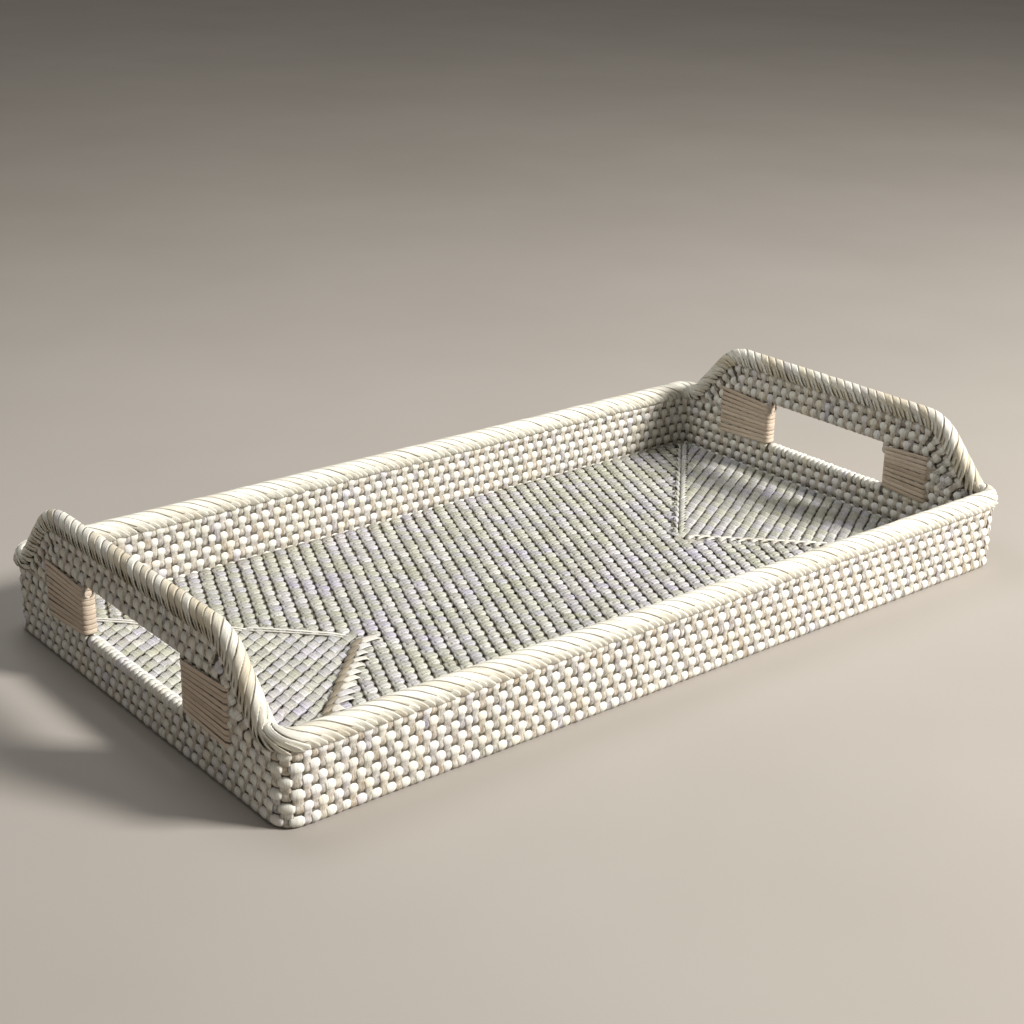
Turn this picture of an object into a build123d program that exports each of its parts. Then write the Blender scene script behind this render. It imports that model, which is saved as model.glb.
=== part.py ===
from build123d import *

import os
from math import cos, radians, sin, sqrt, tan

# Rectangular coiled-rattan serving tray with a raised cut-out handle at each end.
#
# Millimetres.  X runs along the tray, Y across it and Z up.  The origin is the centre
# of the underside.  Left is -X, right is +X, front is -Y and back is +Y.
#
# The tray is coiled: round cane is laid in rows, and a flat strand binds each row to
# the one before it.  Every row has its cane core and the closed envelope of its binding.

# Driving dimensions
tray_length = 557.0         # over the woven ends
floor_rings = 19            # rings of the floor, round one straight middle row
wall_rows = 6               # rows of the long walls
opening_first_row = 5       # lowest row that the hand opening interrupts
opening_last_row = 8        # highest row that the hand opening interrupts
handle_last_row = 11        # row under the handle's top rim
bow_rows = 2                # top rows that bend down along the handle's shoulders
row_pitch = 7.25            # height of a bound row
end_row_pitch = 7.8         # the same in the end walls, above the long walls
row_gap = 0.04              # between neighbouring bindings
strand_thickness = 0.8      # flat binding strand
worn_depth = 0.3            # how far the underside is worn flat
opening_width = 108.0       # hand opening, along Y
corner_axis_radius = 10.4   # corner of the wall rows, at their axis
rim_core_radius = 4.6
rim_strand_thickness = 1.0
rim_gap = 0.1               # between the top row and the rim
shoulder_angle = 48.0       # slope of the handle's shoulders, degrees
shoulder_foot_y = 131.0     # where the sloping rim would meet the wall rim's axis
shoulder_foot_radius = 7.0
shoulder_top_radius = 30.0
lashing_strands = 10        # flat strands in each lashing beside an opening
lashing_strand_height = 2.6
lashing_bend_radius = 1.2   # where a strand turns round the edge of the opening
lacing_width = 4.0          # flat strands laid along the floor's mitres
lacing_spacing = 4.2
tight_corner_radius = 5.0   # smallest corner that the floor's rings make
end_clearance = 0.6         # gap where a cut row end meets its neighbour

# Derived sizes
row_radius = (row_pitch - row_gap) / 2
core_radius = row_radius - strand_thickness
end_row_radius = (end_row_pitch - row_gap) / 2
end_core_radius = end_row_radius - strand_thickness
first_row_z = row_radius - worn_depth
wall_axis_x = tray_length / 2 - row_radius
wall_axis_y = row_pitch * (floor_rings + 1)
rim_radius = rim_core_radius + rim_strand_thickness
rim_clearance = rim_radius + rim_gap
opening_edge_y = opening_width / 2
cut_row_y = opening_edge_y + 2 * strand_thickness
shoulder = radians(shoulder_angle)

ends = {"left": -1, "right": 1}
sides = {"front": -1, "back": 1}

# How far each lashing reaches from the edge of its opening
lashing_lengths = {
    "left_front": 47.0,
    "left_back": 47.0,
    "right_front": 39.0,
    "right_back": 50.0,
}

os.makedirs("parts", exist_ok=True)


def save(piece, label):
    """Label a finished piece and write its STEP file."""
    piece.part.label = label
    export_step(piece.part, f"parts/{label}.step")


def row_z(row):
    """Height of a row's axis; the bottom row is 1."""
    if row <= wall_rows:
        return first_row_z + row_pitch * (row - 1)
    first_end_row_z = row_z(wall_rows) + row_radius + row_gap + end_row_radius
    return first_end_row_z + end_row_pitch * (row - wall_rows - 1)


rim_wall_z = row_z(wall_rows) + row_radius + rim_clearance
rim_top_z = row_z(handle_last_row) + end_row_radius + rim_clearance


def floor_corner_radius(ring):
    """Corner of a floor ring's axis, nested in the wall's corner until it gets tight."""
    return max(corner_axis_radius - row_pitch * ring, tight_corner_radius)


def sweep_rod(path, radius, mode=Mode.ADD):
    """Sweep a disc along a path."""
    with BuildSketch(Plane(origin=path @ 0, z_dir=path % 0)) as section:
        Circle(radius)
    sweep(section.sketch, path=path, mode=mode)


def sweep_tubes(paths, outer, inner):
    """Sweep hollow tubes along paths that stay clear of each other."""
    for path in paths:
        sweep_rod(path, outer)
    for path in paths:
        sweep_rod(path, inner, mode=Mode.SUBTRACT)


def ring_path(half_x, half_y, corner, height):
    """Closed rounded rectangle at a height."""
    with BuildLine(Plane.XY.offset(height)) as path:
        FilletPolyline(
            (half_x, -half_y),
            (half_x, half_y),
            (-half_x, half_y),
            (-half_x, -half_y),
            radius=corner,
            close=True,
        )
    return path.wire()


def open_row_path(side, height):
    """A row that runs round one long wall and stops at both hand openings."""
    with BuildLine(Plane.XY.offset(height)) as path:
        FilletPolyline(
            (-wall_axis_x, side * cut_row_y),
            (-wall_axis_x, side * wall_axis_y),
            (wall_axis_x, side * wall_axis_y),
            (wall_axis_x, side * cut_row_y),
            radius=corner_axis_radius,
        )
    return path.wire()


def shoulder_y(height, inset):
    """Y of the sloping shoulder at a height, moved in from the rim's axis by inset."""
    foot_y = shoulder_foot_y - inset / sin(shoulder)
    return foot_y - (height - rim_wall_z) / tan(shoulder)


def bow_inset(order):
    """Distance from the rim's axis to a bow row; order counts from the rim."""
    return rim_clearance + end_row_pitch * order + end_row_radius


def row_end_y(height):
    """Where a level row is cut square so that it clears the bow rows."""
    cut_back = end_row_radius / sin(shoulder) + end_row_radius / tan(shoulder)
    return shoulder_y(height, bow_inset(bow_rows - 1)) - cut_back - end_clearance


def straight_row(end, start_y, stop_y, height):
    """A straight row in an end wall, along Y."""
    with BuildLine() as path:
        Line((end * wall_axis_x, start_y, height), (end * wall_axis_x, stop_y, height))
    return path.wire()


def bow_path(end, order):
    """A row that arches over the handle; order counts down from the rim."""
    inset = bow_inset(order)
    foot_z = row_z(wall_rows) + row_radius + end_row_radius * cos(shoulder) + end_clearance
    top_z = row_z(handle_last_row - order)
    x = end * wall_axis_x
    with BuildLine() as path:
        FilletPolyline(
            (x, -shoulder_y(foot_z, inset), foot_z),
            (x, -shoulder_y(top_z, inset), top_z),
            (x, shoulder_y(top_z, inset), top_z),
            (x, shoulder_y(foot_z, inset), foot_z),
            radius=shoulder_top_radius - inset,
        )
    return path.wire()


def rim_path(end):
    """Half of the rim, from the middle of the front wall over one handle to the back."""
    x = end * wall_axis_x
    top_y = shoulder_y(rim_top_z, 0)
    with BuildLine() as path:
        FilletPolyline(
            (0, -wall_axis_y, rim_wall_z),
            (x, -wall_axis_y, rim_wall_z),
            (x, -shoulder_foot_y, rim_wall_z),
            (x, -top_y, rim_top_z),
            (x, top_y, rim_top_z),
            (x, shoulder_foot_y, rim_wall_z),
            (x, wall_axis_y, rim_wall_z),
            (0, wall_axis_y, rim_wall_z),
            radius=[
                corner_axis_radius,
                shoulder_foot_radius,
                shoulder_top_radius,
                shoulder_top_radius,
                shoulder_foot_radius,
                corner_axis_radius,
            ],
        )
    return path.wire()


# Floor: concentric rings of cane, mitred at the corners, round a straight middle row
floor_axes = [
    ring_path(
        wall_axis_x - row_pitch * ring,
        wall_axis_y - row_pitch * ring,
        floor_corner_radius(ring),
        first_row_z,
    )
    for ring in range(1, floor_rings + 1)
]
middle_row_end = wall_axis_x - row_pitch * floor_rings - tight_corner_radius
with BuildLine() as middle_row:
    Line((-middle_row_end, 0, first_row_z), (middle_row_end, 0, first_row_z))
floor_axes.append(middle_row.wire())

with BuildPart() as floor_coil:
    for axis in floor_axes:
        sweep_rod(axis, core_radius)
save(floor_coil, "floor_coil")

with BuildPart() as floor_binding:
    sweep_tubes(floor_axes, row_radius, core_radius)
    split(bisect_by=Plane.XY, keep=Keep.TOP)
save(floor_binding, "floor_binding")

# Long walls and the foot of the end walls
for row in range(1, wall_rows + 1):
    if row < opening_first_row:
        row_axes = [ring_path(wall_axis_x, wall_axis_y, corner_axis_radius, row_z(row))]
    else:
        row_axes = [open_row_path(side, row_z(row)) for side in sides.values()]

    with BuildPart() as wall_coil:
        for axis in row_axes:
            sweep_rod(axis, core_radius)
    save(wall_coil, f"wall_coil_{row}")

    with BuildPart() as wall_binding:
        sweep_tubes(row_axes, row_radius, core_radius)
        if row == 1:
            split(bisect_by=Plane.XY, keep=Keep.TOP)
    save(wall_binding, f"wall_binding_{row}")

# End walls above the long walls
for end_name, end in ends.items():
    for side_name, side in sides.items():
        post_axes = [
            straight_row(
                end,
                side * cut_row_y,
                side * row_end_y(row_z(row)),
                row_z(row),
            )
            for row in range(wall_rows + 1, opening_last_row + 1)
        ]

        with BuildPart() as post_coils:
            for axis in post_axes:
                sweep_rod(axis, end_core_radius)
        save(post_coils, f"{end_name}_post_coils_{side_name}")

        with BuildPart() as post_binding:
            sweep_tubes(post_axes, end_row_radius, end_core_radius)
        save(post_binding, f"{end_name}_post_binding_{side_name}")

    handle_axes = [
        straight_row(end, -row_end_y(row_z(row)), row_end_y(row_z(row)), row_z(row))
        for row in range(opening_last_row + 1, handle_last_row - bow_rows + 1)
    ]

    with BuildPart() as handle_coils:
        for axis in handle_axes:
            sweep_rod(axis, end_core_radius)
    save(handle_coils, f"{end_name}_handle_coils")

    with BuildPart() as handle_binding:
        sweep_tubes(handle_axes, end_row_radius, end_core_radius)
    save(handle_binding, f"{end_name}_handle_binding")

    bow_axes = [bow_path(end, order) for order in range(bow_rows)]

    with BuildPart() as bow_coils:
        for axis in bow_axes:
            sweep_rod(axis, end_core_radius)
    save(bow_coils, f"{end_name}_bow_coils")

    with BuildPart() as bow_binding:
        sweep_tubes(bow_axes, end_row_radius, end_core_radius)
    save(bow_binding, f"{end_name}_bow_binding")

    # Rim pole, spliced in the middle of the long walls, and its wrapping
    with BuildPart() as rim_core:
        sweep_rod(rim_path(end), rim_core_radius)
    save(rim_core, f"rim_core_{end_name}")

    with BuildPart() as rim_wrap:
        sweep_tubes([rim_path(end)], rim_radius, rim_core_radius)
    save(rim_wrap, f"rim_wrap_{end_name}")

# Lashings: flat strands bent round the posts beside each hand opening
lashing_z = row_z(opening_first_row) - row_radius
lashing_height = row_z(opening_last_row) + end_row_radius - lashing_z
lashing_pitch = lashing_height / lashing_strands
strand_gap = (lashing_pitch - lashing_strand_height) / 2
leg_offset = end_row_radius + strand_thickness / 2

for end_name, end in ends.items():
    for side_name, side in sides.items():
        near_y = side * (opening_edge_y + strand_thickness / 2)
        far_y = side * (opening_edge_y + lashing_lengths[f"{end_name}_{side_name}"])
        with BuildPart() as lashing:
            for strand in range(lashing_strands):
                with BuildSketch(Plane.XY.offset(lashing_z + strand_gap + strand * lashing_pitch)):
                    with BuildLine() as strand_line:
                        FilletPolyline(
                            (end * wall_axis_x - leg_offset, far_y),
                            (end * wall_axis_x - leg_offset, near_y),
                            (end * wall_axis_x + leg_offset, near_y),
                            (end * wall_axis_x + leg_offset, far_y),
                            radius=lashing_bend_radius,
                        )
                    trace(line_width=strand_thickness)
                extrude(amount=lashing_strand_height)
        save(lashing, f"{end_name}_lashing_{side_name}")

# Mitre lacings: two flat strands laid on the floor along each mitre
ridge_end_x = wall_axis_x - wall_axis_y + row_radius
lacing_start = row_pitch
lacing_stop = wall_axis_y - row_radius - corner_axis_radius
lacing_middle = (lacing_start + lacing_stop) / 2
lacing_length = (lacing_stop - lacing_start) * sqrt(2)

for end_name, end in ends.items():
    for side_name, side in sides.items():
        mitre = Plane(
            origin=(end * (ridge_end_x + lacing_middle), side * lacing_middle, first_row_z + row_radius),
            x_dir=(end, side, 0),
            z_dir=(0, 0, 1),
        )
        with BuildPart() as mitre_lacing:
            with BuildSketch(mitre):
                with GridLocations(0, lacing_spacing, 1, 2):
                    SlotOverall(lacing_length, lacing_width)
            extrude(amount=strand_thickness)
        save(mitre_lacing, f"mitre_lacing_{end_name}_{side_name}")
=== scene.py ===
from math import cos, pi, radians, sin, tan

import bpy
import numpy as np
from mathutils import Matrix, Vector
from numpy.linalg import norm


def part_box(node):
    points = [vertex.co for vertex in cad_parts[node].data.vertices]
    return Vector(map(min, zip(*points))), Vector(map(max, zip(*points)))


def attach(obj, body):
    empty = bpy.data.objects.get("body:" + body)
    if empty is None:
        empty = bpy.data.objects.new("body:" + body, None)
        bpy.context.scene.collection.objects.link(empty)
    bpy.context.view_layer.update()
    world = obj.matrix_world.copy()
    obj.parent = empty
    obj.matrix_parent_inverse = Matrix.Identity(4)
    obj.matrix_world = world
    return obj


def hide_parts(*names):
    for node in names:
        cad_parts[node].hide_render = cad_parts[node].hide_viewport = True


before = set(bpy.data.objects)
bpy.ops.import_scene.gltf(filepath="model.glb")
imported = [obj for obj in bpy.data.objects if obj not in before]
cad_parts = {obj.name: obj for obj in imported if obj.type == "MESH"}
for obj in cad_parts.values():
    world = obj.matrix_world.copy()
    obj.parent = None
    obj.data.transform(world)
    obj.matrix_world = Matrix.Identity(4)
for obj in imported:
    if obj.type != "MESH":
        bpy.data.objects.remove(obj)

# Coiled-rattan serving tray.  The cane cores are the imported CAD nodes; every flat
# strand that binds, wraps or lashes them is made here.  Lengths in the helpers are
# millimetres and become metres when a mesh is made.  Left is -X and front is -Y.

scene = bpy.context.scene
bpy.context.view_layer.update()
MM = 0.001


# ---- camera and light

# Fitted to the tray's edges in the photo; the place is in metres.
FOCAL_PIXELS = 1770.0
IMAGE_PIXELS = 1024
SENSOR_MM = 36.0
CAMERA_PLACE = Vector((-0.6637, -0.7810, 0.4607))
CAMERA_YAW = radians(39.618)
CAMERA_PITCH = radians(21.605)
CAMERA_ROLL = radians(1.235)
CLIP_END = 50


def add_camera():
    forward = Vector(
        (
            sin(CAMERA_YAW) * cos(CAMERA_PITCH),
            cos(CAMERA_YAW) * cos(CAMERA_PITCH),
            -sin(CAMERA_PITCH),
        )
    )
    level = Vector((cos(CAMERA_YAW), -sin(CAMERA_YAW), 0))
    upright = level.cross(forward)
    right = level * cos(CAMERA_ROLL) + upright * sin(CAMERA_ROLL)
    up = upright * cos(CAMERA_ROLL) - level * sin(CAMERA_ROLL)
    data = bpy.data.cameras.new("camera")
    data.sensor_width = SENSOR_MM
    data.lens = FOCAL_PIXELS / IMAGE_PIXELS * SENSOR_MM
    data.clip_end = CLIP_END
    camera = bpy.data.objects.new("camera", data)
    axes = Matrix((right, up, -forward)).transposed()
    camera.matrix_world = Matrix.Translation(CAMERA_PLACE) @ axes.to_4x4()
    scene.collection.objects.link(camera)
    scene.camera = camera


def add_area_light(name, place, size, power, colour):
    """A square lamp that points at the origin."""
    data = bpy.data.lights.new(name, "AREA")
    data.size = size
    data.energy = power
    data.color = colour
    lamp = bpy.data.objects.new(name, data)
    lamp.location = place
    lamp.rotation_euler = (-Vector(place)).to_track_quat("-Z", "Y").to_euler()
    scene.collection.objects.link(lamp)


def add_world(colour, strength):
    world = bpy.data.worlds.new("studio")
    scene.world = world
    world.use_nodes = True
    background = world.node_tree.nodes["Background"]
    background.inputs["Color"].default_value = (*colour, 1)
    background.inputs["Strength"].default_value = strength


# ---- materials


def new_material(name, roughness, specular):
    material = bpy.data.materials.new(name)
    material.use_nodes = True
    tree = material.node_tree
    shader = tree.nodes["Principled BSDF"]
    shader.inputs["Roughness"].default_value = roughness
    shader.inputs["Specular IOR Level"].default_value = specular
    return material, tree, shader


def make_ramp(tree, factor, stops):
    ramp = tree.nodes.new("ShaderNodeValToRGB")
    elements = ramp.color_ramp.elements
    while len(elements) < len(stops):
        elements.new(0.5)
    for element, (position, colour) in zip(elements, stops):
        element.position = position
        element.color = (*colour, 1)
    tree.links.new(factor, ramp.inputs["Fac"])
    return ramp.outputs["Color"]


def mix_colours(tree, factor, first, second, blend="MIX"):
    mix = tree.nodes.new("ShaderNodeMix")
    mix.data_type = "RGBA"
    mix.blend_type = blend
    tree.links.new(first, mix.inputs["A"])
    tree.links.new(second, mix.inputs["B"])
    if isinstance(factor, float):
        mix.inputs["Factor"].default_value = factor
    else:
        tree.links.new(factor, mix.inputs["Factor"])
    return mix.outputs["Result"]


def make_noise(tree, vector, scale, detail, roughness=0.6):
    noise = tree.nodes.new("ShaderNodeTexNoise")
    noise.inputs["Scale"].default_value = scale
    noise.inputs["Detail"].default_value = detail
    noise.inputs["Roughness"].default_value = roughness
    tree.links.new(vector, noise.inputs["Vector"])
    return noise.outputs["Fac"]


def scale_vector(tree, vector, factors):
    node = tree.nodes.new("ShaderNodeMapping")
    node.inputs["Scale"].default_value = factors
    tree.links.new(vector, node.inputs["Vector"])
    return node.outputs["Vector"]


def read_attribute(tree, name, output="Vector"):
    node = tree.nodes.new("ShaderNodeAttribute")
    node.attribute_name = name
    return node.outputs[output]


def separate(tree, vector):
    node = tree.nodes.new("ShaderNodeSeparateXYZ")
    tree.links.new(vector, node.inputs["Vector"])
    return node.outputs


def multiply(tree, first, second):
    node = tree.nodes.new("ShaderNodeMath")
    node.operation = "MULTIPLY"
    tree.links.new(first, node.inputs[0])
    tree.links.new(second, node.inputs[1])
    return node.outputs["Value"]


def add_bump(tree, shader, height, strength, distance):
    bump = tree.nodes.new("ShaderNodeBump")
    bump.inputs["Strength"].default_value = strength
    bump.inputs["Distance"].default_value = distance
    tree.links.new(height, bump.inputs["Height"])
    tree.links.new(bump.outputs["Normal"], shader.inputs["Normal"])


def strand_material(name, fresh, worn, streak_depth, painted_edge_shade, patch_stops):
    """Flat cane strand under a rubbed white wash.  Three attributes drive it: tone holds two
    random numbers for each strand and how worn it is along its length, which is rubbed wash and
    also painted shade on the low parts and tails of stitches, grain holds millimetres across and
    along it, and edge is 1 at its edges and 0 in its middle.  The colour darkens towards the edges
    as painted shade in the creases between strands."""
    material, tree, shader = new_material(name, roughness=0.55, specular=0.35)
    grain = read_attribute(tree, "grain")
    tone = separate(tree, read_attribute(tree, "tone"))
    place = tree.nodes.new("ShaderNodeTexCoord").outputs["Object"]
    fibre_grain = scale_vector(tree, grain, (1.9, 0.11, 1.0))
    fibres = make_noise(tree, fibre_grain, scale=1.0, detail=5.0, roughness=0.7)
    rubbed_grain = scale_vector(tree, grain, (0.5, 0.3, 1.0))
    rubbed = make_noise(tree, rubbed_grain, scale=1.0, detail=3.0)
    patches = make_noise(tree, place, scale=22.0, detail=2.0)
    fresh_colour = make_ramp(tree, tone["X"], fresh)
    wear_and_shade_colour = make_ramp(tree, tone["Y"], worn)
    worn_amount = make_ramp(tree, rubbed, [(0.35, (0.35,) * 3), (0.62, (1.0,) * 3)])
    colour = mix_colours(tree, multiply(tree, tone["Z"], worn_amount), fresh_colour, wear_and_shade_colour)
    colour = mix_colours(tree, 0.6, colour, make_ramp(tree, patches, patch_stops), "MULTIPLY")
    streak_stops = [(0.3, (streak_depth,) * 3), (0.5, (0.93,) * 3), (0.7, (1.0,) * 3)]
    streaks = make_ramp(tree, fibres, streak_stops)
    colour = mix_colours(tree, 1.0, colour, streaks, "MULTIPLY")
    # Painted shade: the colour darkens towards each strand's edges, in the creases between strands.
    crease_shade_stops = [(0.86, (1.0,) * 3), (1.0, (painted_edge_shade,) * 3)]
    crease_shade = make_ramp(tree, read_attribute(tree, "edge", "Fac"), crease_shade_stops)
    colour = mix_colours(tree, 1.0, colour, crease_shade, "MULTIPLY")
    tree.links.new(colour, shader.inputs["Base Color"])
    rough = make_ramp(tree, rubbed, [(0.3, (0.48,) * 3), (0.7, (0.72,) * 3)])
    tree.links.new(rough, shader.inputs["Roughness"])
    add_bump(tree, shader, fibres, strength=0.55, distance=0.0004)
    return material


def cane_material(name, dark, light):
    """Round cane, seen only in the gaps between strands; its colours are the cane's fibre tone made
    dark as painted shade for those gaps.
    """
    material, tree, shader = new_material(name, roughness=0.6, specular=0.3)
    place = tree.nodes.new("ShaderNodeTexCoord").outputs["Object"]
    fibre_place = scale_vector(tree, place, (60.0, 60.0, 400.0))
    fibres = make_noise(tree, fibre_place, scale=1.0, detail=4.0)
    spots = make_noise(tree, place, scale=90.0, detail=3.0)
    colour = make_ramp(tree, fibres, [(0.3, dark), (0.7, light)])
    shade = make_ramp(tree, spots, [(0.3, (0.7,) * 3), (0.7, (1.0,) * 3)])
    tree.links.new(mix_colours(tree, 1.0, colour, shade, "MULTIPLY"), shader.inputs["Base Color"])
    add_bump(tree, shader, fibres, strength=0.4, distance=0.0003)
    return material


def floor_material():
    """Matt warm grey ground under the tray."""
    material, tree, shader = new_material("studio_floor", roughness=0.8, specular=0.2)
    place = tree.nodes.new("ShaderNodeTexCoord").outputs["Object"]
    cloud = make_noise(tree, place, scale=3.0, detail=3.0)
    colour = make_ramp(tree, cloud, [(0.3, (0.36, 0.33, 0.295)), (0.7, (0.385, 0.355, 0.32))])
    tree.links.new(colour, shader.inputs["Base Color"])
    return material


# ---- sizes from the frame


def node_size(node, axis):
    low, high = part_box(node)
    return (high[axis] - low[axis]) / MM


def node_middle(node, axis):
    low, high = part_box(node)
    return (high[axis] + low[axis]) / 2 / MM


CORE_R = node_size("wall_coil_3", 2) / 2
ROW_R = node_size("wall_binding_3", 2) / 2
WALL_X = node_size("wall_coil_3", 0) / 2 - CORE_R
WALL_Y = node_size("wall_coil_3", 1) / 2 - CORE_R
PITCH = node_middle("wall_coil_3", 2) - node_middle("wall_coil_2", 2)
FIRST_Z = node_middle("wall_coil_1", 2)
END_CORE_R = node_size("left_handle_coils", 2) / 2
END_ROW_R = node_size("left_handle_binding", 2) / 2
END_PITCH = node_size("left_post_binding_front", 2) - 2 * END_ROW_R
FIRST_END_Z = node_middle("left_post_binding_front", 2) - END_PITCH / 2
RIM_CORE_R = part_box("rim_core_right")[1].x / MM - WALL_X
RIM_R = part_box("rim_wrap_right")[1].x / MM - WALL_X
RIM_WALL_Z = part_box("rim_wrap_left")[0].z / MM + RIM_R
RIM_TOP_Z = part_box("rim_wrap_left")[1].z / MM - RIM_R
OPENING_Y = -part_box("left_lashing_front")[1].y / MM

# The same counts and measures as the CAD part.  Rows are counted from the bottom, and the bow
# rows are the ones that arch over each handle.
WALL_ROWS = 6
OPENING_ROWS = (5, 8)
HANDLE_ROWS = 11
BOW_ROWS = 2
FLOOR_RINGS = 19
CORNER_R = 10.4
TIGHT_CORNER_R = 5.0
RIM_GAP = 0.1
SHOULDER_ANGLE = radians(48)
SHOULDER_FOOT_Y = 131.0
SHOULDER_FOOT_R = 7.0
SHOULDER_TOP_R = 30.0

SEED = 7
rng = np.random.default_rng(SEED)


def row_z(row):
    """Height of the middle of a level row."""
    if row <= WALL_ROWS:
        return FIRST_Z + PITCH * (row - 1)
    return FIRST_END_Z + END_PITCH * (row - WALL_ROWS - 1)


# ---- paths

PATH_STEP = 0.5
SAME_POINT = 1e-6


def round_corners(points, radii, closed, step=PATH_STEP):
    """Dense points along a polyline whose corners are arcs."""
    points = [np.array(p, float) for p in points]
    count = len(points)
    dense = []
    for i, point in enumerate(points):
        if not closed and i in (0, count - 1):
            dense.append(point[None])
            continue
        before = points[i - 1] - point
        after = points[(i + 1) % count] - point
        before /= norm(before)
        after /= norm(after)
        half = np.arccos(np.clip(before @ after, -1, 1)) / 2
        radius = radii[i]
        reach = radius / tan(half)
        middle = point + (before + after) / norm(before + after) * radius / sin(half)
        start = point + before * reach - middle
        stop = point + after * reach - middle
        sweep = pi - 2 * half
        steps = max(6, int(radius * sweep / step))
        share = np.linspace(0, 1, steps + 1)[:, None]
        arc = (np.sin((1 - share) * sweep) * start + np.sin(share * sweep) * stop) / sin(sweep)
        dense.append(middle + arc)
    if closed:
        dense.append(dense[0][:1])
    return np.concatenate(dense)


class Path:
    """A route with axes a (outward, or up on the floor) and b (away from the row before)."""

    def __init__(self, points, closed=False, flat=False):
        seams = norm(np.diff(points, axis=0), axis=1)
        keep = np.concatenate([[True], seams > SAME_POINT])
        points = points[keep]
        length = np.concatenate([[0], np.cumsum(norm(np.diff(points, axis=0), axis=1))])
        self.length = length[-1]
        self.closed = closed
        self.flat = flat
        count = max(8, int(self.length / PATH_STEP))
        self.s = np.linspace(0, self.length, count + 1)
        self.points = np.stack([np.interp(self.s, length, points[:, i]) for i in range(3)], 1)
        if closed:
            around = np.concatenate([self.points[-2:-1], self.points, self.points[1:2]])
            tangents = around[2:] - around[:-2]
        else:
            tangents = np.gradient(self.points, axis=0)
        self.tangents = tangents / norm(tangents, axis=1)[:, None]

    def frame(self, s):
        """Points, a axes and b axes at distances along the route."""
        along = np.mod(s, self.length) if self.closed else np.clip(s, 0, self.length)
        point = np.stack([np.interp(along, self.s, self.points[:, i]) for i in range(3)], -1)
        tangent = np.stack([np.interp(along, self.s, self.tangents[:, i]) for i in range(3)], -1)
        tangent /= norm(tangent, axis=-1, keepdims=True)
        if not self.closed:
            point = point + tangent * (s - along)[..., None]
        outward = np.cross(tangent, [0, 0, 1])
        outward /= norm(outward, axis=-1, keepdims=True)
        if self.flat:
            return point, np.broadcast_to([0.0, 0.0, 1.0], point.shape), outward
        return point, outward, np.cross(outward, tangent)

    def place(self, s, a, b):
        """Points at distances along the route, set off by a and b."""
        point, a_axis, b_axis = self.frame(s)
        return point + a_axis * a[..., None] + b_axis * b[..., None]


# ---- ribbons

# A strand's section, from one edge over its crown to the other edge and back underneath.
ACROSS = np.array([-1, -0.62, 0, 0.62, 1, 0.72, -0.72])
CROWN = np.array([0, 0.74, 1, 0.74, 0, 0, 0])
BELOW = np.array([0, 0, 0, 0, 0, 1, 1])
STRAND_T = 0.45
# Moves each strand to its own part of the noise that colours it.
TONE_SPREAD = 900


class Bundle:
    """Collects closed ribbons and makes one object of them."""

    def __init__(self):
        self.verts = []
        self.grain = []
        self.tone = []
        self.edge = []
        self.faces = []
        self.caps = []
        self.count = 0

    def add(self, centre, across, normal, half_width, crown, tones, worn):
        """centre, across and normal are (ribbons, sections, 3); across has unit scale."""
        ribbons, sections, _ = centre.shape
        ring = len(ACROSS)
        lateral = half_width[..., None] * ACROSS
        height = crown[..., None] * CROWN - STRAND_T * BELOW
        verts = centre[:, :, None] + across[:, :, None] * lateral[..., None]
        verts += normal[:, :, None] * height[..., None]
        verts[..., 2] = np.maximum(verts[..., 2], 0.0)
        steps = norm(np.diff(centre, axis=1), axis=2)
        along = np.concatenate([np.zeros((ribbons, 1)), np.cumsum(steps, axis=1)], 1)
        first = tones[:, 0, None, None]
        second = tones[:, 1, None, None]
        grain = [lateral, along[..., None], first * TONE_SPREAD]
        grain = np.stack(np.broadcast_arrays(*grain), -1)
        tone = np.stack(np.broadcast_arrays(first, second, worn[..., None], lateral)[:3], -1)
        self.verts.append(verts.reshape(-1, 3))
        self.grain.append(grain.reshape(-1, 3))
        self.tone.append(tone.reshape(-1, 3))
        self.edge.append(np.broadcast_to(np.abs(ACROSS), lateral.shape).ravel())
        index = self.count + np.arange(ribbons * sections * ring).reshape(ribbons, sections, ring)
        nxt = np.roll(index, -1, axis=2)
        quads = np.stack([index[:, :-1], index[:, 1:], nxt[:, 1:], nxt[:, :-1]], -1)
        self.faces.append(quads.reshape(-1, 4))
        self.caps.append(index[:, 0, :].reshape(-1, ring))
        self.caps.append(index[:, -1, ::-1].reshape(-1, ring))
        self.count += ribbons * sections * ring

    def make(self, name, material, slot, *nodes):
        """One piece of the tray, which stands in for the CAD nodes."""
        verts = np.concatenate(self.verts) * MM
        faces = np.concatenate(self.faces)
        caps = np.concatenate(self.caps)
        mesh = bpy.data.meshes.new(name)
        mesh.vertices.add(len(verts))
        mesh.vertices.foreach_set("co", verts.ravel())
        corners = np.concatenate([faces.ravel(), caps.ravel()])
        mesh.loops.add(len(corners))
        mesh.loops.foreach_set("vertex_index", corners)
        starts = np.concatenate(
            [np.arange(len(faces)) * 4, faces.size + np.arange(len(caps)) * caps.shape[1]]
        )
        mesh.polygons.add(len(starts))
        mesh.polygons.foreach_set("loop_start", starts)
        mesh.polygons.foreach_set("use_smooth", np.ones(len(starts), bool))
        mesh.update(calc_edges=True)
        mesh.validate()
        for label, values in (("grain", self.grain), ("tone", self.tone)):
            attribute = mesh.attributes.new(label, "FLOAT_VECTOR", "POINT")
            attribute.data.foreach_set("vector", np.concatenate(values).ravel())
        attribute = mesh.attributes.new("edge", "FLOAT", "POINT")
        attribute.data.foreach_set("value", np.concatenate(self.edge))
        mesh.materials.append(material)
        piece = bpy.data.objects.new(name, mesh)
        scene.collection.objects.link(piece)
        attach(piece, "root")
        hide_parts(*nodes)


# ---- stitches


def polar(angles, radius):
    """Section centres and normals on a circle round a core; 0 degrees is outward."""
    angle = np.radians(angles)
    return radius * np.cos(angle), radius * np.sin(angle), np.cos(angle), np.sin(angle)


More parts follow.
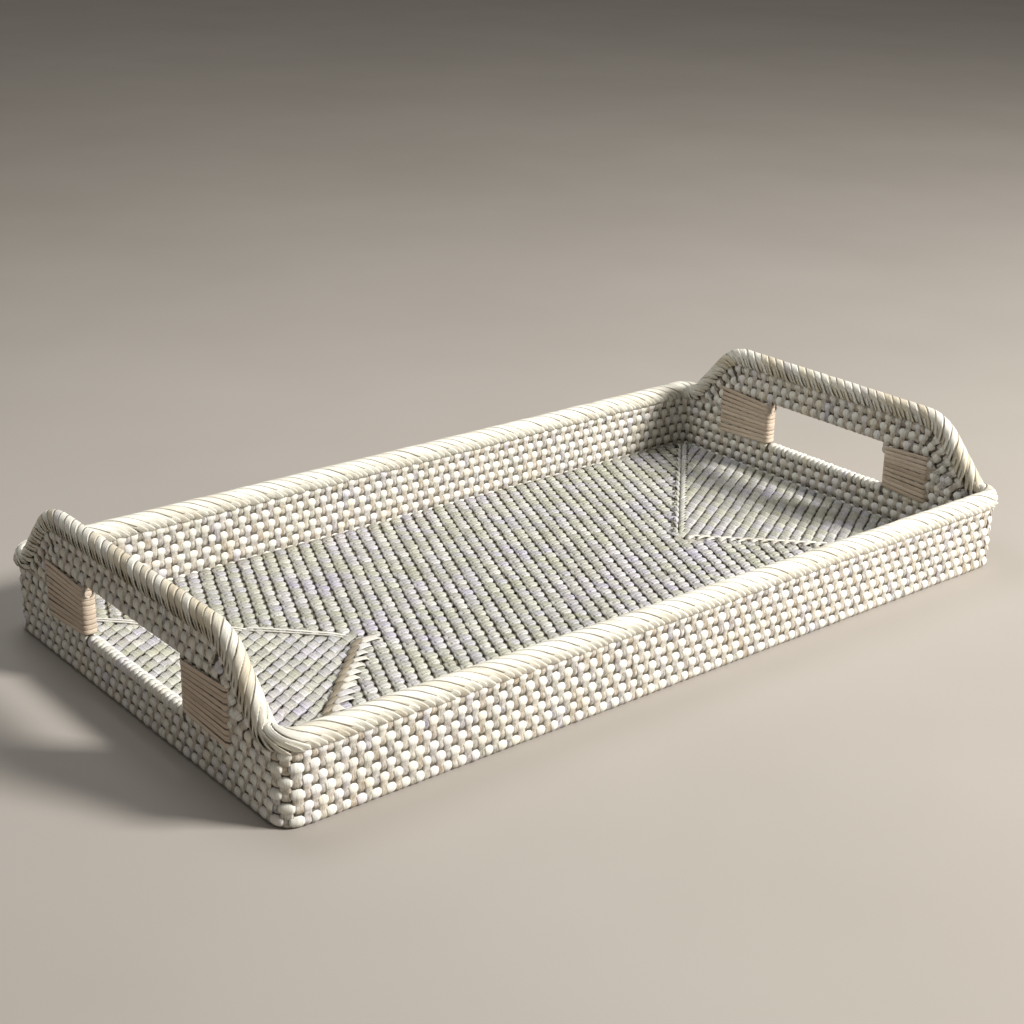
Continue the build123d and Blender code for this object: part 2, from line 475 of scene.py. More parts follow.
# The tail is the sections from TAIL_START on.  The stretches make a stitch bulge past the round
# of its row, and GROOVE_DEPTH is how far out it crosses to the next row, in core radii.
TAIL_START = 8
TOP_STRETCH = 1.14
TAIL_STRETCH = 1.08
STRAND_LIFT = 0.05
GROOVE_DEPTH = 0.88
STITCH_TILT = 0.015
TILT_JITTER = 0.03
SECTION_KEYS = ("a", "b", "na", "nb", "width", "crown", "worn")


class Profile:
    """One stitch in the plane across its row, from the top of the row down one face.

    body is its half width on its own row, tail its half width on the row before, and top_width
    the least half width at the top.  Without over_next it goes round its own row only."""

    def __init__(self, top_width, over_next, body=3.5, tail=2.55, core=CORE_R, pitch=PITCH):
        upper = np.array([90, 72, 54, 36, 18, 0, -18, -35])
        radius = core + STRAND_LIFT
        a, b, na, nb = polar(upper, radius)
        b = b * np.where(b > 0, TOP_STRETCH, 1)
        width = body * np.array([0.66, 0.88, 0.98, 1.0, 1.0, 0.97, 0.88, 0.74])
        width = np.maximum(width, top_width * np.array([1, 0.98, 0.96, 0, 0, 0, 0, 0]))
        crown = np.array([0.95, 1.2, 1.32, 1.3, 1.22, 1.12, 1.0, 0.85])
        # Worn rises where the stitch dips into the groove, along its tail and under its row: rubbed
        # wash, and painted shade where the strand lies low.
        worn = np.array([0.1, 0.05, 0.0, 0.0, 0.0, 0.08, 0.25, 0.55])
        if over_next:
            lower = np.array([38, 18, -2, -22, -42, -62, -80])
            a2, b2, na2, nb2 = polar(lower, radius)
            b2 = b2 * np.where(b2 < 0, TAIL_STRETCH, 1) - pitch
            a = np.append(a, [GROOVE_DEPTH * core, *a2])
            b = np.append(b, [-pitch / 2, *b2])
            na = np.append(na, [1.0, *na2])
            nb = np.append(nb, [0.0, *nb2])
            taper = np.array([1.05, 1.03, 1.0, 1.0, 0.97, 0.92, 0.8, 0.6])
            width = np.append(width, tail * taper)
            crown = np.append(crown, [0.75, 0.6, 0.55, 0.55, 0.58, 0.6, 0.5, 0.3])
            worn = np.append(worn, [0.85, 1, 1, 1, 1, 1, 1, 1])
        else:
            under = np.array([-52, -70, -90])
            a2, b2, na2, nb2 = polar(under, radius)
            a, b = np.append(a, a2), np.append(b, b2)
            na, nb = np.append(na, na2), np.append(nb, nb2)
            width = np.concatenate([width, [0.85 * body] * 3])
            crown = np.append(crown, [0.7, 0.6, 0.6])
            worn = np.append(worn, [0.6, 0.7, 0.7])
        self.pitch = pitch
        self.a, self.b, self.na, self.nb = a, b, na, nb
        self.width, self.crown, self.worn = width, crown, worn


def loop_sections(front, back):
    """Both faces of a stitch, joined over the top of its row."""
    joined = {"pitch": front.pitch}
    for key in SECTION_KEYS:
        sign = -1 if key in ("a", "na") else 1
        joined[key] = np.concatenate([getattr(front, key)[::-1], sign * getattr(back, key)[1:]])
    return joined


def tail_sections(profile):
    """The parts of a stitch that lie over the row before, on either face."""
    faces = []
    for sign, order in ((1, slice(None, None, -1)), (-1, slice(None))):
        face = {"pitch": profile.pitch}
        for key in SECTION_KEYS:
            side = sign if key in ("a", "na") else 1
            face[key] = side * getattr(profile, key)[TAIL_START:][order]
        faces.append(face)
    return faces


def vary(count, spread, limit):
    """A random factor near 1 for each strand."""
    return rng.normal(1, spread, count).clip(1 - limit, 1 + limit)[:, None]


def stitch(bundle, path, s0, b0, sections, lean=0.0, sway=0.2):
    """Loops a strand round a row at every s0, shifted by lean for each row it crosses.
    b0 is the row's own offset from the path."""
    if len(s0) == 0:
        return
    count = len(s0)
    a, b = sections["a"], sections["b"]
    tilt = rng.normal(STITCH_TILT, TILT_JITTER, count)
    s = s0[:, None] - b / sections["pitch"] * lean - tilt[:, None] * b
    s += rng.normal(0, sway, count)[:, None]
    fat = vary(count, spread=0.06, limit=0.16)
    bulge = vary(count, spread=0.1, limit=0.25)
    aa = np.broadcast_to(a, s.shape)
    bb = np.broadcast_to(b + b0, s.shape)
    centre = path.place(s, aa, bb)
    reach = 0.5
    across = (path.place(s + reach, aa, bb) - path.place(s - reach, aa, bb)) / (2 * reach)
    _, a_axis, b_axis = path.frame(s)
    normal = a_axis * sections["na"][None, :, None] + b_axis * sections["nb"][None, :, None]
    tones = rng.random((count, 2))
    worn = np.broadcast_to(sections["worn"], s.shape)
    width = sections["width"] * fat
    crown = sections["crown"] * bulge
    bundle.add(centre, across, normal, width, crown, tones, worn)


# The walls: the plain weave, the bottom row, and the row under each hand opening.
plain = Profile(1.0, True)
round_only = Profile(1.0, False)
open_top = Profile(1.7, True, body=2.8)
between = Profile(1.7, False, body=1.9)
weave = loop_sections(plain, plain)
foot = loop_sections(round_only, plain)
roll = loop_sections(open_top, open_top)
roll_between = loop_sections(between, between)

# The end walls above the long walls: the plain weave, and the row over each hand opening.
tall = Profile(1.0, True, body=3.2, tail=2.5, core=END_CORE_R, pitch=END_PITCH)
tall_round = Profile(1.0, False, body=3.2, core=END_CORE_R, pitch=END_PITCH)
end_weave = loop_sections(tall, tall)
end_hanging = loop_sections(tall_round, tall_round)

# The floor: each list runs from the tip of a stitch to the end of its tail.  TIP_A and TIP_B
# are the places of the tip's sections, in core radii.
LEAF_TAPER = [0.4, 0.74, 0.94, 1, 1.02, 1.02, 1, 1, 0.98, 0.95, 0.9, 0.82, 0.72, 0.6, 0.45, 0.3]
# Painted light: the tip keeps the fresh colours as a painted highlight, and the tail turns to the
# worn colours as painted shade.
LEAF_TIP_LIGHT_TAIL_SHADE = [0.0, 0.0, 0.0, 0.1, 0.2, 0.35, 0.5, 0.6, 0.7, 0.8, 0.9, 1, 1, 1, 1, 1]
LEAF_CROWN = [0.5, 0.8, 1.0, 1.05, 1.0, 0.9, 0.8, 0.75, 0.7, 0.65, 0.6, 0.6, 0.6, 0.5, 0.4, 0.3]
TIP_A = [0.5, 0.84, 0.98]
TIP_B = [1.36, 1.16, 0.86]


def scale_stitch(width):
    """A floor stitch whose pointed tip laps over the next row, like a scale."""
    scale = Profile(1.6, True)
    tip = slice(len(TIP_A))
    scale.a[tip] = CORE_R * np.array(TIP_A)
    scale.b[tip] = CORE_R * np.array(TIP_B)
    scale.na[tip] = 1.0
    scale.nb[tip] = 0.0
    scale.width = width * np.array(LEAF_TAPER)
    scale.worn = np.array(LEAF_TIP_LIGHT_TAIL_SHADE)
    scale.crown = np.array(LEAF_CROWN)
    return loop_sections(scale, scale)


main_leaf = scale_stitch(3.75)
end_leaf = scale_stitch(4.05)


# ---- bands, painted shade in the gaps between strands

BAND_STEP = 4
BAND_CROWN = 0.3


def lay_band(bundle, path, b0, half_width, a0=0.0):
    """A dark band in the middle of the work, seen only through the gaps between strands: painted
    shade.  The rim's filler is laid the same way in the rim's colour.
    """
    count = max(2, int(path.length / BAND_STEP))
    s = np.linspace(0, path.length, count)[None]
    centre = path.place(s, np.full(s.shape, a0), np.full(s.shape, b0))
    _, a_axis, b_axis = path.frame(s)
    even = np.ones(s.shape)
    tones = np.full((1, 2), 0.5)
    bundle.add(centre, b_axis, a_axis, half_width * even, BAND_CROWN * even, tones, even)


# ---- camera, light, looks

scene.view_settings.view_transform = "Standard"
add_camera()
add_world(colour=(1.0, 0.96, 0.90), strength=0.20)
add_area_light(
    "key", place=(1.25, -1.65, 1.5), size=0.6, power=118, colour=(1.0, 0.975, 0.94)
)
add_area_light(
    "fill", place=(-0.15, 0.35, 1.0), size=0.5, power=3.4, colour=(0.95, 0.97, 1.0)
)

# Colours along each ramp.  Fresh is under the wash, and worn is where it is rubbed off; on the
# low parts and tails of stitches the worn colours are also painted shade.
WALL_FRESH = [
    (0.0, (0.88, 0.87, 0.80)),
    (0.4, (0.86, 0.84, 0.74)),
    (0.7, (0.84, 0.82, 0.80)),
    (0.9, (0.84, 0.79, 0.66)),
    (1.0, (0.74, 0.72, 0.76)),
]
WALL_WEAR_AND_SHADE = [
    (0.0, (0.36, 0.29, 0.21)),
    (0.25, (0.50, 0.43, 0.34)),
    (0.5, (0.25, 0.23, 0.20)),
    (0.75, (0.40, 0.31, 0.21)),
    (1.0, (0.27, 0.25, 0.28)),
]
FLOOR_FRESH = [
    (0.0, (0.66, 0.66, 0.58)),
    (0.4, (0.52, 0.52, 0.45)),
    (0.65, (0.57, 0.56, 0.61)),
    (1.0, (0.76, 0.75, 0.70)),
]
FLOOR_WEAR_AND_SHADE = [
    (0.0, (0.33, 0.33, 0.24)),
    (0.5, (0.41, 0.39, 0.31)),
    (1.0, (0.36, 0.34, 0.37)),
]
RIM_FRESH = [
    (0.0, (0.90, 0.88, 0.78)),
    (0.35, (0.84, 0.80, 0.69)),
    (0.6, (0.66, 0.58, 0.43)),
    (0.8, (0.80, 0.73, 0.57)),
    (1.0, (0.66, 0.63, 0.60)),
]
NATURAL = [
    (0.0, (0.60, 0.48, 0.36)),
    (0.5, (0.76, 0.63, 0.50)),
    (1.0, (0.54, 0.43, 0.32)),
]
OLIVE = [
    (0.0, (0.25, 0.21, 0.15)),
    (0.5, (0.35, 0.30, 0.22)),
    (1.0, (0.18, 0.155, 0.11)),
]
EVEN = [(0.3, (0.9, 0.9, 0.9)), (0.7, (1.0, 1.0, 1.0))]
LILAC = [(0.35, (0.86, 0.86, 0.76)), (0.52, (0.95, 0.95, 0.93)), (0.62, (0.92, 0.88, 1.0))]

wall_look = strand_material(
    "wall_strand", WALL_FRESH, WALL_WEAR_AND_SHADE, streak_depth=0.6, painted_edge_shade=0.24, patch_stops=EVEN
)
floor_look = strand_material(
    "floor_strand", FLOOR_FRESH, FLOOR_WEAR_AND_SHADE, streak_depth=0.5, painted_edge_shade=0.22, patch_stops=LILAC
)
rim_look = strand_material(
    "rim_strand", RIM_FRESH, WALL_WEAR_AND_SHADE, streak_depth=0.6, painted_edge_shade=0.45, patch_stops=EVEN
)
natural_look = strand_material(
    "natural_strand", NATURAL, NATURAL, streak_depth=0.6, painted_edge_shade=0.6, patch_stops=EVEN
)
plait_look = strand_material(
    "plait_strand", OLIVE, OLIVE, streak_depth=0.5, painted_edge_shade=0.35, patch_stops=EVEN
)
core_look = cane_material("cane_core", dark=(0.11, 0.095, 0.07), light=(0.22, 0.19, 0.14))
# Painted shade: the dark material of the bands in the gaps between strands.
gap_shade_look = cane_material("gap_shade", dark=(0.09, 0.08, 0.06), light=(0.17, 0.15, 0.115))

# The cane rows and the rim pole are the CAD nodes themselves; their dark cane colour is painted
# shade for the gaps they show through.
for name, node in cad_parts.items():
    if "coil" in name or "core" in name:
        node.data.materials.clear()
        node.data.materials.append(core_look)

ENDS = {"left": -1, "right": 1}
SIDES = {"front": -1, "back": 1}

# Stitches round each long wall and each end wall, and how they keep clear of the openings
# and shoulders.  Two dark bands of painted shade fill each groove between rows, one near either
# face.
LONG_STITCHES = 61
END_STITCHES = 34
STITCH_MARGIN = 3.5
SHOULDER_MARGIN = 8.0
END_REACH = 5.0
GROOVES = (-2.1, 2.1)
WALL_GAP_SHADE = 1.7
END_GAP_SHADE = 1.8
GAP_SHADE_MARGIN = 2.0
WALL_TOLERANCE = 0.5


# ---- walls


def rectangle(half_x, half_y, z, corner):
    """Closed route round the tray, counter-clockwise seen from above."""
    signs = ((-1, -1), (1, -1), (1, 1), (-1, 1))
    corners = [(x * half_x, y * half_y, z) for x, y in signs]
    return Path(round_corners(corners, [corner] * len(corners), True), closed=True)


def side_route(side):
    """Round one long wall, from one hand opening to the other."""
    stop = side * (OPENING_Y + GAP_SHADE_MARGIN)
    corners = [
        (-WALL_X, stop, 0),
        (-WALL_X, side * WALL_Y, 0),
        (WALL_X, side * WALL_Y, 0),
        (WALL_X, stop, 0),
    ]
    return Path(round_corners(corners, [0, CORNER_R, CORNER_R, 0], False))


wall_path = rectangle(WALL_X, WALL_Y, 0, CORNER_R)


def ring_lattice(row):
    """Stitch places on a wall row, offset by half a stitch from row to row.  They are even
    between the middles of the corners, and the path starts at the start of a corner."""
    arc = CORNER_R * pi / 2
    long_wall = 2 * (WALL_X - CORNER_R) + arc
    end_wall = 2 * (WALL_Y - CORNER_R) + arc
    knots = np.cumsum([arc / 2, long_wall, end_wall, long_wall, end_wall])
    counts = np.cumsum([0, LONG_STITCHES, END_STITCHES, LONG_STITCHES, END_STITCHES])
    index = np.arange(counts[-1]) + 0.5 * (row % 2)
    return np.interp(index, counts, knots)


def on_end_wall(s):
    """Whether each place is on an end wall, its end (-1 or 1) and its Y."""
    point, _, _ = wall_path.frame(s)
    return np.abs(np.abs(point[:, 0]) - WALL_X) < WALL_TOLERANCE, np.sign(point[:, 0]), point[:, 1]


def in_opening(s, margin):
    """Whether each place is over or under a hand opening."""
    on_end, _, y = on_end_wall(s)
    return on_end & (np.abs(y) < OPENING_Y + margin)


for row in range(1, WALL_ROWS + 1):
    bundle = Bundle()
    places = ring_lattice(row)
    if row == 1:
        stitch(bundle, wall_path, places, row_z(row), foot)
    elif row < OPENING_ROWS[0] - 1:
        stitch(bundle, wall_path, places, row_z(row), weave)
    elif row == OPENING_ROWS[0] - 1:
        free = in_opening(places, 0)
        stitch(bundle, wall_path, places[~free], row_z(row), weave)
        stitch(bundle, wall_path, places[free], row_z(row), roll)
        halfway = ring_lattice(row + 1)
        stitch(bundle, wall_path, halfway[in_opening(halfway, 0)], row_z(row), roll_between)
    else:
        stitch(bundle, wall_path, places[~in_opening(places, STITCH_MARGIN)], row_z(row), weave)
    bundle.make(f"wall_stitches_{row}", wall_look, "wall_strand", f"wall_binding_{row}")

# The tails of the strands that bind the top row to the rim.
top_tails = Bundle()
places = ring_lattice(WALL_ROWS + 1)
on_end, _, y = on_end_wall(places)
clear = ~on_end | (np.abs(y) > SHOULDER_FOOT_Y - SHOULDER_MARGIN)
for face in tail_sections(plain):
    stitch(top_tails, wall_path, places[clear], row_z(WALL_ROWS) + PITCH, face)
top_tails.make("wall_top_stitches", wall_look, "wall_strand", f"wall_binding_{WALL_ROWS}")

# Painted shade: dark bands in the grooves between the wall rows.
wall_gap_shade = Bundle()
for row in range(1, WALL_ROWS):
    height = (row_z(row) + row_z(row + 1)) / 2
    if row + 1 < OPENING_ROWS[0]:
        routes = [wall_path]
    else:
        routes = [side_route(side) for side in SIDES.values()]
    for route in routes:
        for depth in GROOVES:
            lay_band(wall_gap_shade, route, height, WALL_GAP_SHADE, depth)
wall_gap_shade.make("wall_gap_shade", gap_shade_look, "cane_core", "wall_binding_1")


# ---- end walls


def shoulder_y(height, inset):
    """Where the line of a shoulder, set in from the rim's own line, is at a height."""
    foot = SHOULDER_FOOT_Y - inset / sin(SHOULDER_ANGLE)
    return foot - (height - RIM_WALL_Z) / tan(SHOULDER_ANGLE)


def bow_inset(order):
    """How far in from the rim's line a bow row is."""
    return RIM_R + RIM_GAP + END_PITCH * order + END_ROW_R


def row_end_y(row):
    """Where a level row of an end wall stops, beside the bow rows."""
    cut_back = END_ROW_R / sin(SHOULDER_ANGLE) + END_ROW_R / tan(SHOULDER_ANGLE)
    return shoulder_y(row_z(row), bow_inset(BOW_ROWS - 1)) - cut_back


def end_places(end, row):
    """Stitch places of a level row on one end wall, with their Y."""
    places = ring_lattice(row)
    on_end, which, y = on_end_wall(places)
    here = on_end & (which == end) & (np.abs(y) < row_end_y(row) + END_REACH)
    return places[here], y[here]


def bow_route(end, order):
    """Along a bow row; order counts from the rim and need not be whole."""
    inset = bow_inset(order)
    foot_z = row_z(WALL_ROWS) + ROW_R + END_ROW_R * cos(SHOULDER_ANGLE)
    top_z = row_z(HANDLE_ROWS) - END_PITCH * order
    x = end * WALL_X
    corners = [
        (x, -end * shoulder_y(foot_z, inset), foot_z),
        (x, -end * shoulder_y(top_z, inset), top_z),
        (x, end * shoulder_y(top_z, inset), top_z),
        (x, end * shoulder_y(foot_z, inset), foot_z),
    ]
    bend = SHOULDER_TOP_R - inset
    return Path(round_corners(corners, [0, bend, bend, 0], False))


# Stitches on the bow rows, counted from the middle of the handle; the sloping part starts
# SLOPE_START from there.
END_STITCH_PITCH = (2 * (WALL_Y - CORNER_R) + CORNER_R * pi / 2) / END_STITCHES
SLOPE_START = 78.0
PATH_END_MARGIN = 1.0
SHOULDER_GAP_SHADE_ORDER = 1.72
SHOULDER_GAP_SHADE = 2.8
GAP_SHADE_OVERRUN = 6


def bow_places(row):
    """Distance of each stitch of a bow row from the middle of the handle."""
    index = np.arange(-END_STITCHES, END_STITCHES) + 0.5 * (row % 2)
    return index * END_STITCH_PITCH


def on_route(route, places):
    """Places along a route, from distances from its middle; those past its ends are left out."""
    s = route.length / 2 + places
    return s[(s > PATH_END_MARGIN) & (s < route.length - PATH_END_MARGIN)]


def post_stitches(end, side, name, node):
    """The level rows beside a hand opening."""
    bundle = Bundle()
    for row in range(WALL_ROWS + 1, OPENING_ROWS[1] + 1):
        places, y = end_places(end, row)
        outside = y * side > OPENING_Y + STITCH_MARGIN
        stitch(bundle, wall_path, places[outside], row_z(row), end_weave)
    bundle.make(name, wall_look, "wall_strand", node)


def post_gap_shade(bundle, end, side):
    """Dark bands of painted shade in the grooves of the level rows beside a hand opening."""
    for row in range(WALL_ROWS + 1, OPENING_ROWS[1] + 2):
        height = (row_z(row - 1) + row_z(row)) / 2
        x = end * WALL_X
        near = side * (OPENING_Y + GAP_SHADE_MARGIN)
        far = side * (row_end_y(row) + GAP_SHADE_OVERRUN)
        line = Path(np.array([(x, near, height), (x, far, height)], float))
        for depth in GROOVES:
            lay_band(bundle, line, 0.0, END_GAP_SHADE, depth)


def handle_stitches(end, name, node):
    """The level rows over a hand opening."""
    bundle = Bundle()
    for row in range(OPENING_ROWS[1] + 1, HANDLE_ROWS - BOW_ROWS + 1):
        places, y = end_places(end, row)
        free = np.abs(y) < OPENING_Y
        stitch(bundle, wall_path, places[~free], row_z(row), end_weave)
        stitch(bundle, wall_path, places[free], row_z(row), end_hanging)
    bundle.make(name, wall_look, "wall_strand", node)


def bow_stitches(end, name, node):
    """The rows that arch over a handle, with extra tails where they meet the level rows, and
    the tails of the strands that bind the outer one to the rim."""
    bundle = Bundle()
    for order in range(BOW_ROWS):
        route = bow_route(end, order)
        places = bow_places(HANDLE_ROWS - order)
        stitch(bundle, route, on_route(route, places), 0.0, end_weave)
    halfway = places + END_STITCH_PITCH / 2
    for face in tail_sections(tall):
        stitch(bundle, route, on_route(route, halfway[np.abs(halfway) > SLOPE_START]), 0.0, face)
    route = bow_route(end, -1)
    for face in tail_sections(tall):
        stitch(bundle, route, on_route(route, bow_places(HANDLE_ROWS + 1)), 0.0, face)
    bundle.make(name, wall_look, "wall_strand", node)


def bow_gap_shade(bundle, end):
    """Dark bands of painted shade in the groove between the bow rows, and where the level rows meet
    them.
    """
    for depth in GROOVES:
        lay_band(bundle, bow_route(end, 0.5), 0.0, END_GAP_SHADE, depth)
        lay_band(bundle, bow_route(end, SHOULDER_GAP_SHADE_ORDER), 0.0, SHOULDER_GAP_SHADE, depth)


# Each handle's pieces, with its bands of painted shade in the gaps.
for end_name, end in ENDS.items():
    gap_shade = Bundle()
    for side_name, side in SIDES.items():
        post = f"{end_name}_post"
        post_stitches(end, side, f"{post}_stitches_{side_name}", f"{post}_binding_{side_name}")
        post_gap_shade(gap_shade, end, side)
    handle_stitches(end, f"{end_name}_handle_stitches", f"{end_name}_handle_binding")
    bow_stitches(end, f"{end_name}_bow_stitches", f"{end_name}_bow_binding")
    bow_gap_shade(gap_shade, end)
    gap_shade.make(f"{end_name}_handle_gap_shade", gap_shade_look, "cane_core", f"{end_name}_bow_binding")


# ---- floor

# The main field's rows run along the tray and the end fields' rows across it.  step is the
# share of a stitch by which the stitches move from row to row, and lean how far each stitch
# slants for each row it crosses.
MAIN_PITCH = 9.3
MAIN_STEP = 1 / 3
MAIN_LEAN = MAIN_PITCH * 0.12
END_FIELD_PITCH = 8.5
END_FIELD_STEP = 0.5
END_FIELD_LEAN = END_FIELD_PITCH * 0.44
MITRE_MARGIN = 1.0
LINE_HALF = 300.0
MOST_STITCHES = 60

# Main rows are counted from the middle one, from front to back.
ROW_GROUPS = {
    "front_outer": (-19, -14),
    "front_middle": (-14, -8),
    "front_inner": (-8, -2),
    "centre": (-2, 3),
    "back_inner": (3, 9),
    "back_middle": (9, 15),
    "back_outer": (15, 20),
}


def field_line(x, y):
    """A line through the middle of the floor, in the direction x, y."""
    reach = np.array([x * LINE_HALF, y * LINE_HALF, 0.0])
    middle = np.array([0.0, 0.0, FIRST_Z])
    return Path(np.stack([middle - reach, middle + reach]), flat=True)


def field_places(order, pitch, step, extent):
    """Stitch places along a floor row, up to extent from its middle."""
    index = (np.arange(-MOST_STITCHES, MOST_STITCHES + 1) + order * step % 1) * pitch
    return index[np.abs(index) < extent] + LINE_HALF


main_line = field_line(1, 0)
for group, (first, last) in ROW_GROUPS.items():
    bundle = Bundle()
    for order in range(first, last):
        extent = WALL_X - WALL_Y + abs(order) * PITCH - MITRE_MARGIN
        places = field_places(order, MAIN_PITCH, MAIN_STEP, extent)
        stitch(bundle, main_line, places, -order * PITCH, main_leaf, lean=MAIN_LEAN)
    bundle.make(f"floor_stitches_{group}", floor_look, "floor_strand", "floor_binding")

for end_name, end in ENDS.items():
    line = field_line(0, end)
    bundle = Bundle()
    for ring in range(1, FLOOR_RINGS + 1):
        extent = WALL_Y - PITCH * ring - MITRE_MARGIN
        places = field_places(ring, END_FIELD_PITCH, END_FIELD_STEP, extent)
        stitch(bundle, line, places, WALL_X - PITCH * ring, end_leaf, lean=-END_FIELD_LEAN)
    bundle.make(f"floor_stitches_{end_name}", floor_look, "floor_strand", "floor_binding")

# Painted shade: dark bands between the floor rings, seen through the gaps.
FLOOR_GAP_SHADE = 1.6
FLOOR_GAP_SHADE_HEIGHT = 1.5
floor_gap_shade = Bundle()
for ring in range(FLOOR_RINGS):
    middle = PITCH * (ring + 0.5)
    corner = max(CORNER_R - middle, TIGHT_CORNER_R)
    route = rectangle(WALL_X - middle, WALL_Y - middle, FIRST_Z, corner)
    route.flat = True
    lay_band(floor_gap_shade, route, 0.0, FLOOR_GAP_SHADE, FLOOR_GAP_SHADE_HEIGHT)
floor_gap_shade.make("floor_gap_shade", gap_shade_look, "cane_core", "floor_binding")


# ---- rim

# Each lap of the wrap is one strand, with another under it half a lap on.  Angles are degrees
# round the pole from outward, and a slant is distance along the rim over distance round it.
LAP_WALL = 8.6
LAP_HANDLE = 7.2
SLANT_WALL = 1.73
SLANT_HANDLE = 1.03
OUTER_TOE = -62.0
INNER_TOE = 240.0
UNDER_TOE_BACK = 5.0
UNDER_DEPTH = 0.28
TOE_FLARE = 3.1
TOE_LENGTH = 2.2
RIM_CROWN = 0.42
RIM_FILLER = 1.2
RIM_SECTIONS = 25
TOE_JITTER = 4
LAP_JITTER = 0.25
SLANT_JITTER = 0.03
WIDTH_JITTER = 0.05
CROWN_JITTER = 0.12
LIFT_JITTER = 0.25
LAP_PHASE = 0.25
WRAP_LIFT = 0.15
WRAP_R = RIM_CORE_R + 0.5
MIDDLE_ANGLE = 20
RIM_WORN = 0.1
TOE_WORN = 0.35
# The toes flare from FLARE_START below the pole's middle, as a share of its radius.
FLARE_START = 0.1
FLARE_SPAN = 0.75
FLARE_POWER = 1.6
# The wrap is that of a handle from this share of the climb to it, and strands on the walls take
# only this share of the ramp's colours.
HANDLE_CLIMB = 1 / 1.2
WALL_TONES = 0.45


def rim_route():
    """Along the rim pole, round the walls and over both handles."""
    corners = []
    radii = []
    top_y = shoulder_y(RIM_TOP_Z, 0)
    for end in (1, -1):
        x = end * WALL_X
        corners += [
            (x, -end * WALL_Y, RIM_WALL_Z),
            (x, -end * SHOULDER_FOOT_Y, RIM_WALL_Z),
            (x, -end * top_y, RIM_TOP_Z),
            (x, end * top_y, RIM_TOP_Z),
            (x, end * SHOULDER_FOOT_Y, RIM_WALL_Z),
            (x, end * WALL_Y, RIM_WALL_Z),
        ]
        half = [CORNER_R, SHOULDER_FOOT_R, SHOULDER_TOP_R]
        radii += half + half[::-1]
    return Path(round_corners(corners, radii, True), closed=True)


def wrap_rim(bundle, path, s0, lap, slant, first, last, lift, tones):
    """Strands laid slantwise over the rim, from degrees first on the outside to last inside.
    Their toes flare out over the top row of the wall; neighbours stay side by side."""
    count = len(s0)
    share = np.linspace(0, 1, RIM_SECTIONS)
    theta = np.radians(first[:, None] + (last - first)[:, None] * share)
    below = np.clip((-np.sin(theta) - FLARE_START) / FLARE_SPAN, 0, 1)
    radius = RIM_CORE_R + WRAP_LIFT + lift[:, None] + TOE_FLARE * below**FLARE_POWER
    turned = WRAP_R * (theta - radians(MIDDLE_ANGLE))
    s = s0[:, None] - slant[:, None] * turned
    a, b = radius * np.cos(theta), radius * np.sin(theta)
    centre = path.place(s, a, b)
    step = 0.2
    along = (path.place(s + step, a, b) - path.place(s - step, a, b)) / (2 * step)
    run = np.gradient(centre, axis=1)
    run /= norm(run, axis=2, keepdims=True)
    _, a_axis, b_axis = path.frame(s)
    normal = a_axis * np.cos(theta)[..., None] + b_axis * np.sin(theta)[..., None]
    across = np.cross(run, normal)
    across /= norm(across, axis=2, keepdims=True)
    spacing = np.abs((along * across).sum(axis=2)) * lap[:, None]
    across *= np.sign((along * across).sum(axis=2, keepdims=True))
    length = (turned[:, -1] - turned[:, 0]) * np.sqrt(1 + slant**2)
    from_end = np.minimum(share, 1 - share)[None] * length[:, None]
    toe = np.sqrt(1 - (1 - np.clip(from_end / TOE_LENGTH, 0.03, 1)) ** 2)
    width = spacing / 2 * rng.normal(1, WIDTH_JITTER, count)[:, None] * (0.5 + 0.5 * toe)
    crown = RIM_CROWN * (0.5 + 0.5 * toe) * rng.normal(1, CROWN_JITTER, count)[:, None]
    worn = np.broadcast_to(RIM_WORN + TOE_WORN * (1 - toe), s.shape)
    bundle.add(centre, across, normal, width, crown, tones, worn)


rim_path = rim_route()
climb = (rim_path.points[:, 2] - RIM_WALL_Z) / (RIM_TOP_Z - RIM_WALL_Z)
on_handle = np.clip(climb / HANDLE_CLIMB, 0, 1)
lap_lengths = LAP_WALL + (LAP_HANDLE - LAP_WALL) * on_handle
laps_so_far = np.concatenate([[0], np.cumsum(np.diff(rim_path.s) / lap_lengths[1:])])
lap_count = int(round(laps_so_far[-1]))
lap_index = (np.arange(lap_count) + LAP_PHASE) * laps_so_far[-1] / lap_count
lap_places = np.interp(lap_index, laps_so_far, rim_path.s)
lap_point, _, _ = rim_path.frame(lap_places)
for end_name, end in ENDS.items():
    bundle = Bundle()
    places = lap_places[lap_point[:, 0] * end > 0]
    steep = np.interp(places, rim_path.s, on_handle)
    lap = np.interp(places, rim_path.s, lap_lengths)
    count = len(places)
    slant = SLANT_WALL + (SLANT_HANDLE - SLANT_WALL) * steep
    slant *= rng.normal(1, SLANT_JITTER, count)
    for under in range(2):
        first = OUTER_TOE + UNDER_TOE_BACK * under + rng.normal(0, TOE_JITTER, count)
        last = INNER_TOE - UNDER_TOE_BACK * under + rng.normal(0, TOE_JITTER, count)
        s = places + lap / 2 * under + rng.normal(0, LAP_JITTER, count)
        lift = rng.uniform(0, LIFT_JITTER, count) - UNDER_DEPTH * under
        tones = rng.random((count, 2))
        tones[:, 0] *= WALL_TONES + (1 - WALL_TONES) * steep
        wrap_rim(bundle, rim_path, s, lap, slant, first, last, lift, tones)
    lay_band(bundle, rim_path, -RIM_R, RIM_FILLER)
    bundle.make(f"rim_strands_{end_name}", rim_look, "rim_strand", f"rim_wrap_{end_name}")


# ---- lashings

LASH_STRANDS = 10
LASH_BEND_R = 2.2
LASH_CROWN = 0.24
LASH_SECTIONS = 40
LASH_FAN = 0.012
LASH_OVERLAP = 1.03
LASH_LIFT = 0.4
LASH_SAG = 0.08
END_MARGIN = 0.4
END_TUCK = 1.8
TUCK_LENGTH = 2.5


